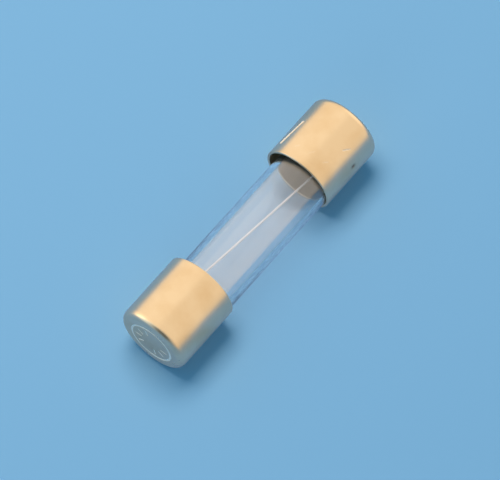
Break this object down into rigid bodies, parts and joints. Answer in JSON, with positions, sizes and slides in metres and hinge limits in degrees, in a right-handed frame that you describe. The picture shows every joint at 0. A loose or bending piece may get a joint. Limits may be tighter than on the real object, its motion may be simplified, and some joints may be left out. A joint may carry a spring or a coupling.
{
  "type": "slow-blow fuse",
  "caption": "Small glass tube fuse with metal end caps; a slanting wire melts and breaks the circuit on lasting overload.",
  "frame": {"origin": "centre of the bottom cap's flat end, where the fuse stands", "axes": "+Z along the caps' common axis, from the plain bottom cap to the top cap with the coined ring"},
  "size_m": [0.0051, 0.005, 0.0202],
  "materials": {
    "cap_metal": "thin bright plating over drawn brass, satin",
    "clear_glass": "clear, fire-polished ends",
    "tinned_wire": "bright tin",
    "solder": "dull tin solder"
  },
  "bodies": {
    "root": {"bottom_cap": "cap_metal", "top_cap": "cap_metal", "glass_tube": "clear_glass", "fuse_wire": "tinned_wire", "bottom_solder": "solder", "top_solder": "solder"}
  },
  "joints": []
}
